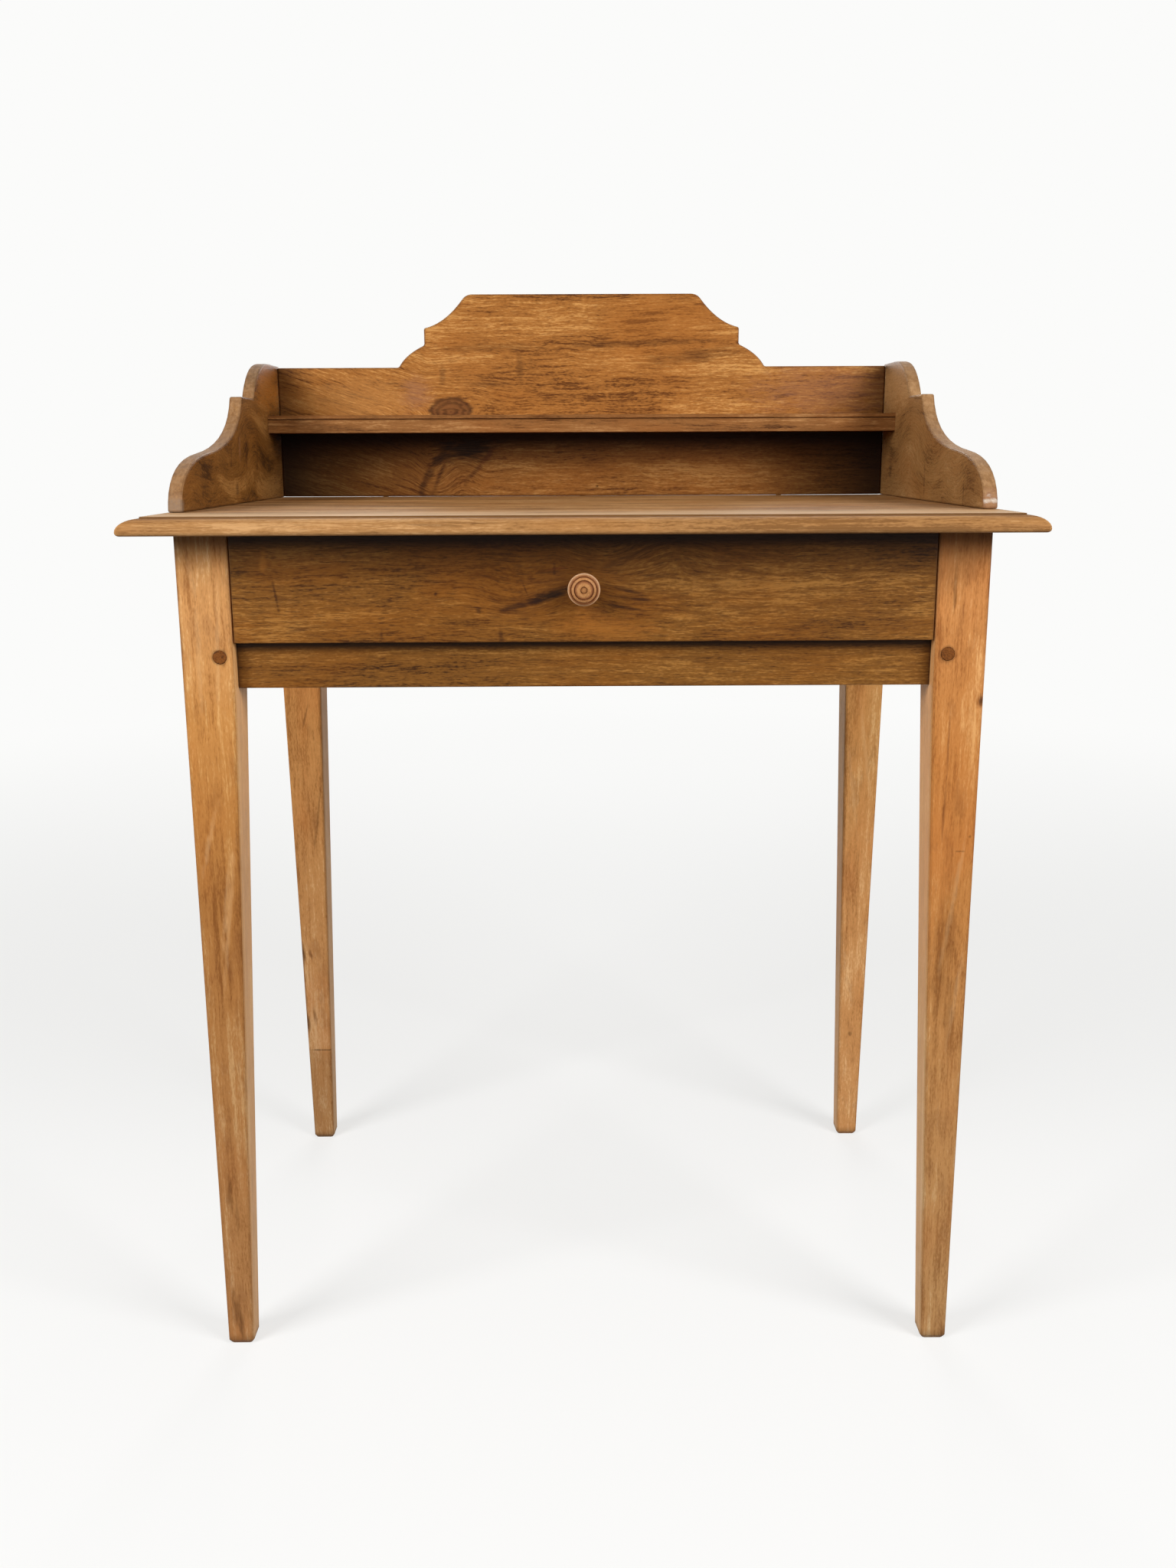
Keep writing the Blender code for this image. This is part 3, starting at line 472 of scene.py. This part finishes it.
def dress_drawer():
    """Drawer front with a crack and a fan of grain beside the knob, and painted shadow below the top."""
    streaks = [
        Streak((-0.060, 0.688), (0.140, 0.700), 0.0400, STAIN, 0.30),
        Streak((-0.016, 0.6830), (-0.064, 0.6690), 0.0100, STAIN, 0.45),
        Streak((-0.012, 0.6852), (-0.044, 0.6747), 0.0050, SHADE_AND_MARKS, 0.95),
        Streak((-0.012, 0.6852), (-0.044, 0.6747), 0.0036, SHADE_AND_MARKS, 0.95),
        Streak((-0.034, 0.6775), (-0.072, 0.6672), 0.0032, PITCH, 0.95),
        Streak((0.0170, 0.6890), (0.0490, 0.6805), 0.0018, PITCH, 0.85),
        Streak((0.0190, 0.6805), (0.0640, 0.6745), 0.0018, PITCH, 0.85),
        Streak((0.0140, 0.6735), (0.0560, 0.6670), 0.0016, PITCH, 0.75),
        Streak((0.0410, 0.6970), (0.0800, 0.6935), 0.0014, PITCH, 0.65),
        Streak((0.0020, 0.6680), (0.0180, 0.6640), 0.0060, RUST, 0.30),
        Streak((0.1000, 0.6850), (0.2800, 0.6850), 0.0600, STAIN, 0.25),
        Streak((0.012, 0.701), (0.061, 0.7207), 0.0045, STAIN, 0.55),
        Streak((-0.030, 0.695), (-0.006, 0.690), 0.0100, STAIN, 0.45),
        # lighter warm patch below the knob: painted bounce light
        Streak((-0.020, 0.658), (0.060, 0.650), 0.0130, HONEY, 0.40),
        Streak((-0.2562, 0.722), (-0.2575, 0.697), 0.0034, HONEY, 0.45),
        Streak((-0.2506, 0.6954), (-0.2462, 0.667), 0.0014, PITCH, 0.85),
        Streak((-0.0237, 0.707), (-0.0237, 0.697), 0.0016, PITCH, 0.8),
        Streak((-0.031, 0.7005), (-0.014, 0.703), 0.0014, RUST, 0.7),
        Streak((-0.0490, 0.690), (-0.0455, 0.681), 0.0012, PITCH, 0.7),
        Streak((-0.0680, 0.6525), (-0.0670, 0.6445), 0.0024, PITCH, 0.7),
        Streak((-0.1641, 0.6520), (-0.1645, 0.6455), 0.0018, PITCH, 0.6),
        Streak((-0.2460, 0.6500), (-0.2200, 0.6555), 0.0022, STAIN, 0.6),
        spot(-0.0852, 0.6688, 0.0032, PITCH, 0.9),
        spot(-0.1194, 0.6819, 0.0018, PITCH, 0.9),
        spot(-0.245, 0.678, 0.0050, STAIN, 0.5),
    ]
    knots = [Knot((-0.0237, 0.7017), (0.004, 0.003), (0.035, 0.018), 0.6)]
    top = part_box("drawer_front")[1][2]
    wood = Wood("drawer_front", "xzy", 11.0)
    wood.bend_round(knots)
    wood.swirl((-0.030, 0.680), (0.070, 0.030), 0.35)
    wood.swirl((0.045, 0.715), (0.070, 0.030), 0.45)
    wood.grow(BOARD_TONES, lines=0.75, bands=0.3, patches=0.55, dashes=0.6, dash=(0.011, 0.0009))
    wood.stain(streaks)
    wood.edge_wear_and_painted_light(STAIN, 0.4)
    front = wood.front_faces()
    # painted shadow of the top's overhang on the drawer front
    for (pale_end, dark_end), share in ((DRAWER_SHADE, 0.7), (DRAWER_CREASE, 0.9)):
        wood.darken_along(wood.across, top - pale_end, top - dark_end, share, front)
    dress("drawer_front", wood.finish())


def dress_rail():
    """Rail with painted shade below the drawer front and at the legs."""
    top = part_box("front_rail")[1][2]
    pale_end, dark_end = RAIL_CREASE
    wood = Wood("front_rail", "xzy", 14.0)
    wood.grow(BOARD_TONES, lines=0.6, bands=0.4, patches=0.3, dashes=0.45, sway=0.016)
    wood.edge_wear_and_painted_light(STAIN, 0.4)
    # painted shadow of the drawer front on the rail's upper edge
    wood.darken_along(wood.across, top - pale_end, top - dark_end, 0.9)
    # painted shade at the ends, in the recess by the legs
    for side in (-1, 1):
        wood.darken_along(wood.along, *(side * end for end in RAIL_ENDS), 0.7)
    dress("front_rail", wood.finish())


def dress_back_board():
    """Back board with a knot above the shelf, a dark scar below it, and painted shade below the shelf and at
    its ends.
    """
    knots = [Knot((-0.1446, 0.8365), (0.0245, 0.0160), (0.085, 0.050), 0.75)]
    streaks = [
        Streak((-0.300, 0.845), (-0.200, 0.850), 0.0300, BLEACHED, 0.35),
        Streak((0.330, 0.858), (0.210, 0.858), 0.0350, MAUVE, 0.5),
        spot(-0.1810, 0.8550, 0.0210, MAUVE, 0.55),
        Streak((-0.1524, 0.887), (-0.1524, 0.866), 0.0040, UMBER, 0.6),
        Streak((-0.0676, 0.897), (-0.0676, 0.872), 0.0050, UMBER, 0.75),
        Streak((-0.122, 0.8655), (-0.080, 0.8665), 0.0042, UMBER, 0.65),
        Streak((-0.160, 0.9030), (-0.030, 0.9055), 0.0050, UMBER, 0.45),
        Streak((-0.050, 0.9040), (0.166, 0.9120), 0.0042, STAIN, 0.6),
        Streak((0.0700, 0.8880), (0.1720, 0.9010), 0.0090, STAIN, 0.6),
        Streak((-0.1440, 0.7960), (-0.1080, 0.7970), 0.0190, SHADE_AND_MARKS, 0.95),
        Streak((-0.1400, 0.7990), (-0.1060, 0.7990), 0.0120, SHADE_AND_MARKS, 0.95),
        Streak((-0.1450, 0.8000), (-0.1650, 0.7790), 0.0060, PITCH, 0.8),
        Streak((-0.1640, 0.7800), (-0.1780, 0.7560), 0.0050, PITCH, 0.75),
        Streak((-0.1760, 0.7600), (-0.1800, 0.7440), 0.0040, STAIN, 0.75),
        Streak((-0.1520, 0.7820), (-0.1680, 0.7460), 0.0030, STAIN, 0.7),
        Streak((-0.0950, 0.8000), (-0.1140, 0.7770), 0.0040, RUST, 0.8),
        Streak((-0.1130, 0.7780), (-0.1290, 0.7620), 0.0034, STAIN, 0.7),
        spot(-0.1060, 0.7640, 0.0140, HONEY, 0.30),
        spot(0.0166, 0.7556, 0.0016, PITCH, 0.95),
    ]
    wood = Wood("gallery_back", "xzy", 17.0)
    wood.bend_round(knots)
    wood.slant(-0.17, 0.3)
    wood.swirl((-0.150, 0.770), (0.045, 0.045), 0.7)
    wood.grow(CREST_TONES, lines=0.8, bands=0.45, patches=0.5, dashes=0.4,
              dash=(0.010, 0.0010), ripple=0.007)
    wood.stain(streaks, wood.front_faces())
    wood.grow_knots(knots, KNOT_RING, KNOT_CORE)
    # painted shade below the shelf and towards the ends
    wood.paint_shade_below_shelf()
    wood.edge_wear_and_painted_light(STAIN, 0.85)
    dress("gallery_back", wood.finish())


def dress_shelf():
    """Shelf, darker towards its ends."""
    streaks = [
        Streak((-0.333, 0.823), (-0.275, 0.823), 0.0150, STAIN, 0.55),
        Streak((0.333, 0.823), (0.300, 0.823), 0.0150, STAIN, 0.45),
    ]
    wood = Wood("gallery_shelf", "xzy", 19.0)
    wood.grow(SHELF_TONES, lines=0.6, bands=0.6, patches=0.6, specks=0.2, dashes=0.15)
    wood.stain(streaks)
    wood.edge_wear_and_painted_light(STAIN, 0.4)
    dress("gallery_shelf", wood.finish())


def dress_gallery_sides():
    """Sides with marks on their inner faces and front ends, painted shade towards the back board and a
    painted paler crown.
    """
    streaks = {
        "left": [
            # paler crown: painted light
            Streak((0.150, 0.865), (0.245, 0.865), 0.0400, HONEY, 0.65),
            spot(0.0282, 0.7590, 0.0080, PITCH, 0.7),
            spot(-0.0995, 0.7581, 0.0045, PITCH, 0.7),
            Streak((-0.1196, 0.7753), (-0.0667, 0.7700), 0.0016, PITCH, 0.8),
            Streak((-0.110, 0.7650), (-0.070, 0.7640), 0.0012, STAIN, 0.7),
            Streak((0.0139, 0.8050), (0.0096, 0.7780), 0.0040, STAIN, 0.7),
            Streak((0.0777, 0.8100), (0.0740, 0.7780), 0.0050, STAIN, 0.7),
            Streak((0.1259, 0.8000), (0.1180, 0.7740), 0.0050, STAIN, 0.6),
            Streak((0.050, 0.8100), (0.046, 0.7850), 0.0035, MAUVE, 0.5),
        ],
        "right": [
            # paler crown: painted light
            Streak((0.150, 0.865), (0.245, 0.865), 0.0350, CREAM, 0.25),
            spot(0.1988, 0.7725, 0.0080, PITCH, 0.7),
            Streak((0.0431, 0.7800), (0.0410, 0.7500), 0.0040, STAIN, 0.6),
            Streak((-0.1041, 0.7650), (-0.1041, 0.7460), 0.0030, STAIN, 0.7),
            spot(-0.1300, 0.7650, 0.0300, UMBER, 0.4),
            Streak((0.1187, 0.8485), (0.0600, 0.8455), 0.0018, CREAM, 0.9),
            Streak((0.1187, 0.8455), (0.0600, 0.8425), 0.0014, PITCH, 0.6),
            spot(0.0934, 0.8549, 0.0080, CREAM, 0.45),
        ],
    }
    ends = {
        "left": [Streak((-0.1685, 0.745), (-0.1685, 0.755), 0.0060, GREY, 0.8)],
        "right": [
            Streak((-0.1685, 0.745), (-0.1685, 0.773), 0.0060, MAUVE, 0.6),
            spot(-0.1685, 0.7575, 0.0028, CHALK, 0.9),
            spot(-0.1685, 0.7520, 0.0024, CHALK, 0.8),
        ],
    }
    for word, inwards, seed, patches, shade in (("left", 1, 27.0, 1.3, 0.45), ("right", -1, 29.0, 0.8, 0.2)):
        tones = SIDE_TONES[word]
        wood = Wood(f"gallery_side_{word}", "yzx", seed)
        wood.swirl((0.060, 0.800), (0.120, 0.070), 0.6)
        wood.swirl((-0.100, 0.765), (0.070, 0.040), -0.3)
        wood.grow(tones, lines=0.5, bands=0.1, patches=patches, dashes=0.3, sway=0.02, ripple=0.006)
        inner = wood.side_faces(inwards)
        wood.lay(tones.ground, wood.side_faces(-inwards), 0.5)
        wood.stain(streaks[word], inner)
        edge = wood.step(wood.math("ABSOLUTE", wood.normal("x")), 0.8, 0.3)
        wood.lay(wood.mix(wood.step(wood.ragged, -0.2, 0.2), *END_GRAIN), edge, 0.6)
        wood.stain(ends[word])
        below_crown = wood.step(wood.across, *SIDE_CROWN)
        # painted shade on the inner face towards the back board
        wood.darken_along(wood.along, *SIDE_SHADE, shade, wood.product(inner, below_crown))
        wood.edge_wear_and_painted_light(STAIN, 0.5)
        dress(f"gallery_side_{word}", wood.finish(relief=0.15))


def dress_top():
    """Top with a strip of wear and painted sheen at the front, and dark lines of dirt and painted shade
    along its moulding.
    """
    streaks = [
        Streak((-0.1447, -0.2555), (-0.0927, -0.2565), 0.0010, STAIN, 0.5),
        Streak((-0.1250, -0.2540), (-0.0600, -0.2550), 0.0008, STAIN, 0.4),
    ]
    low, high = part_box("table_top")
    wood = Wood("table_top", "xyz", 23.0)
    wood.grow(TOP_TONES, lines=0.8, bands=0.8, patches=0.45, dashes=0.4)
    front, side = low[1] + MOULDING_WIDTH, high[0] - MOULDING_WIDTH
    rim = wood.math(
        "MAXIMUM",
        wood.step(wood.across, front + LINE_BLUR, front - LINE_BLUR),
        wood.step(wood.math("ABSOLUTE", wood.along), side - LINE_BLUR, side + LINE_BLUR),
    )
    wave = wood.math("SUBTRACT", wood.noise(wood.place, WEAR_AND_SHEEN_NOISE)[0], 0.5)
    wave = wood.math("MULTIPLY_ADD", wave, STRIP_WAVE, wood.across)
    strip = wood.step(wave, *(low[1] + end for end in WEAR_AND_SHEEN_STRIP))
    # lighter strip at the front: wear and painted sheen
    wood.lay(RUBBED_AND_SHEEN, wood.math("SUBTRACT", strip, rim), 0.6)
    wood.lay(MOULDING, rim, 0.35)
    wood.stain(streaks)
    # pale edges: wear and painted highlight
    wood.edge_wear_and_painted_light(TOP_TONES.light, 0.5)
    # dark lines in the quirk and along the lower edge: dirt and painted shade
    for pale_end, dark_end, share in MOULDING_LINES:
        wood.lay(STAIN, wood.step(wood.through, high[2] - pale_end, high[2] - dark_end), share, rim)
    dress("table_top", wood.finish(roughness=0.5, gloss=0.08))


def dress_legs():
    """Legs in tones that change from the foot up, partly painted shade that darkens them downwards, with
    marks on their front faces.
    """
    streaks = {
        "leg_front_left": [
            Streak((0.7310, -0.3280), (0.5900, -0.3275), 0.0018, UMBER, 0.7),
            spot(0.6315, -0.2964, 0.0075, PITCH, 0.7),
            figure((0.7116, -0.3179), (0.6790, -0.3126)),
            figure((0.6800, -0.3126), (0.5900, -0.3140)),
            figure((0.7050, -0.2942), (0.5800, -0.3005)),
            figure((0.5082, -0.3067), (0.4471, -0.3223)),
            figure((0.4770, -0.2936), (0.3350, -0.3119)),
            figure((0.4700, -0.2970), (0.3700, -0.3110)),
            Streak((0.1680, -0.3190), (0.1300, -0.3180), 0.0034, UMBER, 0.55),
            Streak((0.1500, -0.3120), (0.1100, -0.3130), 0.0022, UMBER, 0.4),
            Streak((0.0520, -0.3200), (0.0180, -0.3190), 0.0050, UMBER, 0.8),
            Streak((0.0350, -0.3150), (0.0080, -0.3150), 0.0036, STAIN, 0.6),
        ],
        "leg_front_right": [
            Streak((0.7310, 0.3280), (0.6300, 0.3275), 0.0018, UMBER, 0.7),
            spot(0.6315, 0.2964, 0.0075, PITCH, 0.7),
            spot(0.6950, 0.2930, 0.0200, UMBER, 0.35),
            Streak((0.7020, 0.3000), (0.6650, 0.2996), 0.0020, UMBER, 0.6),
            Streak((0.5900, 0.3010), (0.5251, 0.3009), 0.0012, RUST, 0.6),
            Streak((0.5251, 0.3009), (0.4722, 0.2998), 0.0014, RUST, 0.6),
            figure((0.4843, 0.3203), (0.3451, 0.3026)),
            figure((0.3770, 0.3233), (0.2710, 0.3118)),
            Streak((0.4641, 0.3120), (0.4641, 0.3190), 0.0010, PITCH, 0.7),
            spot(0.477, 0.3234, 0.0016, PITCH, 0.7),
            Streak((0.4500, 0.3090), (0.3000, 0.3060), 0.0110, UMBER, 0.40),
            Streak((0.3600, 0.3160), (0.2600, 0.3130), 0.0050, UMBER, 0.35),
            spot(0.5921, 0.3269, 0.0070, RUST, 0.9),
            spot(0.5921, 0.3275, 0.0040, PITCH, 0.9),
        ],
        "leg_back_left": [
            Streak((0.2600, -0.3240), (0.1400, -0.3220), 0.0014, UMBER, 0.6),
            Streak((0.2450, -0.3235), (0.2200, -0.3230), 0.0034, PITCH, 0.85),
            Streak((0.1600, -0.3225), (0.1400, -0.3220), 0.0038, PITCH, 0.85),
            Streak((0.2380, -0.3155), (0.2280, -0.3135), 0.0022, RUST, 0.95),
            Streak((0.1680, -0.3140), (0.1440, -0.3125), 0.0026, UMBER, 0.6),
            Streak((0.1137, -0.3220), (0.1135, -0.2860), 0.0009, PITCH, 0.9),
            Streak((0.2343, -0.2935), (0.1600, -0.2952), 0.0015, UMBER, 0.6),
            Streak((0.5217, -0.3028), (0.5005, -0.3080), 0.0016, UMBER, 0.7),
            Streak((0.4488, -0.2895), (0.3433, -0.3056), 0.0016, UMBER, 0.5),
        ],
        "leg_back_right": [
            figure((0.5401, 0.3011), (0.4037, 0.3209)),
            figure((0.4845, 0.2908), (0.3673, 0.3071)),
            spot(0.1300, 0.3090, 0.0030, UMBER, 0.7),
        ],
    }
    # Colours up each leg: partly their own tone, partly painted shade that darkens the legs towards the foot
    tints_and_painted_falloff = {
        "leg_front_left": [
            (0.05, (0.71, 0.68, 0.66)), (0.30, (0.66, 0.60, 0.50)), (0.42, (0.64, 0.55, 0.40)),
            (0.50, (0.76, 0.66, 0.46)), (0.58, (0.88, 0.80, 0.60)), (0.66, (1.0, 1.0, 0.97)),
        ],
        "leg_front_right": [
            (0.05, (0.81, 0.88, 0.94)), (0.25, (0.80, 0.80, 0.76)), (0.42, (0.82, 0.70, 0.52)),
            (0.55, (0.84, 0.68, 0.48)), (0.62, (0.88, 0.74, 0.58)), (0.70, (0.92, 0.80, 0.69)),
        ],
        "leg_back_left": [
            (0.1115, (0.66, 0.66, 0.67)), (0.1155, (0.77, 0.76, 0.77)), (0.35, (0.88, 0.85, 0.78)),
            (0.50, (1.0, 0.95, 0.80)),
        ],
        "leg_back_right": [
            (0.05, (1.0, 0.97, 0.95)), (0.30, (1.0, 0.97, 0.92)), (0.50, (1.0, 1.0, 0.88)),
        ],
    }
    for index, (name, marks) in enumerate(streaks.items()):
        wood = Wood(name, "zxy", 1.0 + 2.3 * index)
        wood.grow(LEG_TONES, lines=0.5, bands=0.7 if "front" in name else 0.45, patches=0.6, specks=0.3,
                  dashes=0.15, dash=(0.008, 0.0009), warmth=0.5)
        wood.tint(tints_and_painted_falloff[name])
        wood.lay(RUST, wood.step(wood.noise(wood.place, MOTTLE)[0], 0.5, 0.68), 0.22)
        wood.stain(marks, wood.front_faces())
        # inner faces lighter: painted light
        wood.lay(CREAM, wood.side_faces(1 if name.endswith("left") else -1), 0.4)
        # dark arrises: painted shade
        wood.edge_wear_and_painted_light(UMBER, 0.55)
        # painted shadow of the top on the leg's upper end
        wood.darken_along(wood.along, *LEG_SHADE, 0.8)
        # darker towards the foot's bottom edge
        wood.darken_along(wood.along, *FOOT_DARKENING, 0.45)
        dress(name, wood.finish())


def dress_knob():
    """Turned knob, with dirt and painted shade in its grooves and a painted highlight on its rim."""
    low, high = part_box("drawer_knob")
    wood = Wood("drawer_knob", "yxz", 41.0)
    wood.grow(KNOB_TONES, lines=0.25, bands=0.25, patches=0.3, dashes=0.2)
    centre = (0, (low[0] + high[0]) / 2, (low[2] + high[2]) / 2)
    inputs = {"Vector": wood.place, "Location": centre, "Scale": (LEFT_OUT, 1, 1)}
    radius = wood.length(wood.add("Mapping", inputs, vector_type="TEXTURE").outputs[0])
    for ring in KNOB_HIGHLIGHT_AND_SHADE_RINGS:
        away = wood.math("ABSOLUTE", wood.math("SUBTRACT", radius, ring.radius))
        wood.lay(ring.tone, wood.step(away, ring.half_width, 0.0), ring.share)
    dress("drawer_knob", wood.finish(roughness=0.4))


def simple_wood(name, order, tones, seed, roughness=0.5):
    wood = Wood(name, order, seed)
    wood.grow(tones)
    return wood.finish(roughness)


def dress_rest():
    """Woods of the pegs, the aprons and what is inside the frame, by the first words of their names."""
    inner = {}
    for axis, order in {"x": "xzy", "y": "yzx", "z": "zxy"}.items():
        inner[axis] = simple_wood(f"inner_{axis}", order, INNER_TONES, 31.0, 0.7)
    woods = {
        ("side_apron",): simple_wood("side_apron", "yzx", BOARD_TONES, 33.0),
        ("rail_peg", "side_peg", "back_peg"): simple_wood("peg", "yxz", PEG_TONES, 37.0),
        ("gallery_dowel", "back_board_dowel"): inner["z"],
        ("drawer_side", "drawer_runner", "drawer_guide", "drawer_kicker"): inner["y"],
        ("back_apron", "drawer_back", "drawer_bottom", "drawer_stop", "glue_block"): inner["x"],
    }
    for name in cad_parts:
        for starts, wood in woods.items():
            if name.startswith(starts):
                dress(name, wood)


bpy.context.scene.view_settings.view_transform = "Standard"
make_camera()
make_world()
make_lights()
make_floor()
dress_drawer()
dress_rail()
dress_back_board()
dress_shelf()
dress_gallery_sides()
dress_top()
dress_legs()
dress_knob()
dress_rest()
